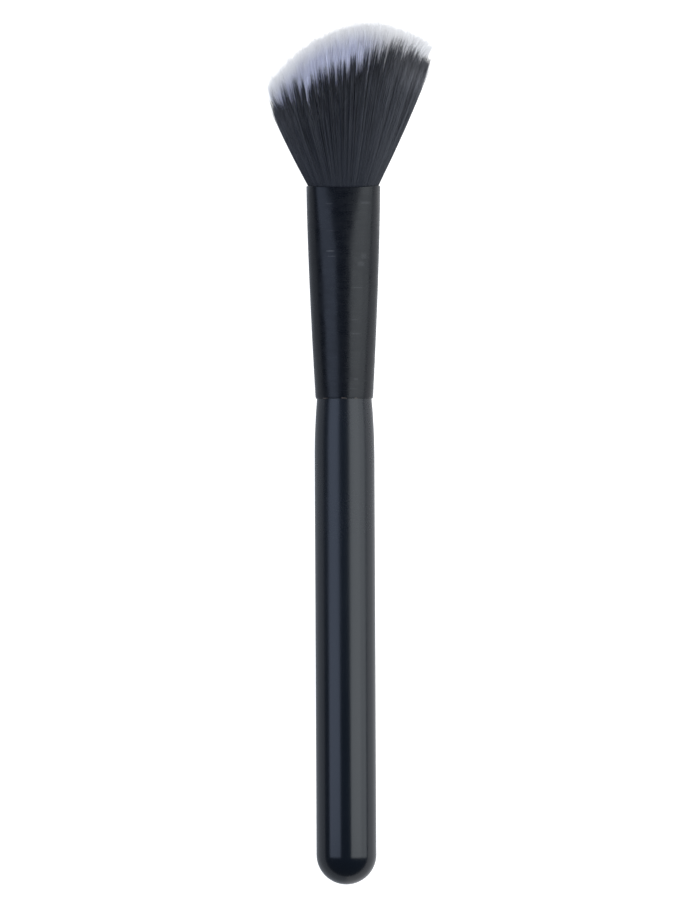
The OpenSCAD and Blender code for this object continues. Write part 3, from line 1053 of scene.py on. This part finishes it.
class BRUSH_OT_stage(bpy.types.Operator):
    """Set up the white floor, the strip lights and the camera straight above the brush"""

    bl_idname = "blush_brush.stage"
    bl_label = "Studio"

    def execute(self, context):
        stage = context.scene.blush_brush.stage
        self.make_floor(stage)
        self.make_world(context.scene, stage)
        low_power = stage.right_power * RIGHT_LOW_SHARE
        strip_light("left_strip", stage.left_power, stage.left_tint, *LEFT_STRIP)
        strip_light("right_strip", stage.right_power, stage.right_tint, *RIGHT_STRIP)
        strip_light("right_low_strip", low_power, stage.right_tint, *RIGHT_LOW_STRIP)
        fill = strip_light("top_fill", stage.fill_power, (1.0, 1.0, 1.0), *TOP_FILL)
        fill.visible_glossy = False
        self.make_card(stage)
        self.make_camera(context.scene, stage)
        context.scene.view_settings.view_transform = "Standard"
        return {"FINISHED"}

    @staticmethod
    def make_floor(stage):
        """A wide white floor that the brush lies on."""
        start_clean()
        bpy.ops.mesh.primitive_plane_add(size=6.0, location=(0.0, 0.0, TABLE_Z))
        floor = bpy.context.object
        floor.name = "white_floor"
        recipe = Recipe("floor_white")
        recipe.set(
            Base_Color=(*stage.floor, 1.0),
            Roughness=0.9,
            Emission_Color=(1.0, 1.0, 1.0, 1.0),
            Emission_Strength=stage.floor_glow)
        floor.data.materials.append(recipe.material)

    @staticmethod
    def make_card(stage):
        """A card under the brush, grey on its left and paler on its right, which only gloss sees."""
        start_clean()
        bpy.ops.mesh.primitive_plane_add(size=2.0, location=(0.0, 0.1, TABLE_Z + 0.01 * MM))
        bpy.ops.object.transform_apply(location=True, rotation=True, scale=True)
        card = bpy.context.object
        card.name = "grey_card"
        recipe = Recipe("card_grey")
        right = recipe.axis("X").ramp(-4 * MM, 4 * MM)
        recipe.set(
            Base_Color=(0.0, 0.0, 0.0, 1.0),
            Emission_Color=recipe.mix(right, stage.card_left, stage.card_right),
            Emission_Strength=1.0)
        card.data.materials.append(recipe.material)
        for kind in ("camera", "diffuse", "shadow", "transmission"):
            setattr(card, "visible_" + kind, False)

    @staticmethod
    def make_world(scene, stage):
        """A dim, even surrounding."""
        world = bpy.data.worlds.new("studio")
        world.use_nodes = True
        world.node_tree.nodes["Background"].inputs["Color"].default_value = (*stage.around, 1.0)
        scene.world = world

    @staticmethod
    def make_camera(scene, stage):
        """A camera straight above the brush."""
        lens = bpy.data.cameras.new("camera")
        lens.sensor_fit = "VERTICAL"
        lens.sensor_height = 24.0
        lens.lens = lens.sensor_height * stage.camera_height / stage.view_height
        lens.clip_end = 20.0
        camera = bpy.data.objects.new("camera", lens)
        camera.location = (stage.view_x, stage.view_y, stage.camera_height)
        camera.rotation_euler = (0.0, 0.0, stage.roll)
        scene.collection.objects.link(camera)
        scene.camera = camera


class BRUSH_PT_panel(bpy.types.Panel):
    """Lists the pieces of the brush and its studio"""

    bl_idname = "BRUSH_PT_panel"
    bl_label = "Blush Brush"
    bl_space_type = "VIEW_3D"
    bl_region_type = "UI"
    bl_category = "Blush Brush"

    def draw(self, context):
        settings = context.scene.blush_brush
        for operator in OPERATORS:
            self.layout.operator(operator.bl_idname)
        for group in (settings.handle, settings.ferrule, settings.head, settings.stage):
            box = self.layout.box()
            for name in group.__annotations__:
                box.prop(group, name)


OPERATORS = (
    BRUSH_OT_handle,
    BRUSH_OT_ferrule,
    BRUSH_OT_binding,
    BRUSH_OT_core,
    BRUSH_OT_dark_bristles,
    BRUSH_OT_pale_bristles,
    BRUSH_OT_stage,
)
GROUPS = (HandleSettings, FerruleSettings, HeadSettings, StageSettings, BrushSettings)
CLASSES = GROUPS + OPERATORS + (BRUSH_PT_panel,)


def register():
    """Adds the classes and the settings."""
    for added in CLASSES:
        bpy.utils.register_class(added)
    bpy.types.Scene.blush_brush = PointerProperty(type=BrushSettings)


def unregister():
    """Takes them away again."""
    del bpy.types.Scene.blush_brush
    for added in reversed(CLASSES):
        bpy.utils.unregister_class(added)


def main():
    """Makes the pieces and the studio in order."""
    register()
    bpy.ops.blush_brush.handle()
    bpy.ops.blush_brush.ferrule()
    bpy.ops.blush_brush.binding()
    bpy.ops.blush_brush.core()
    bpy.ops.blush_brush.dark_bristles()
    bpy.ops.blush_brush.pale_bristles()
    bpy.ops.blush_brush.stage()


if __name__ == "__main__":
    main()
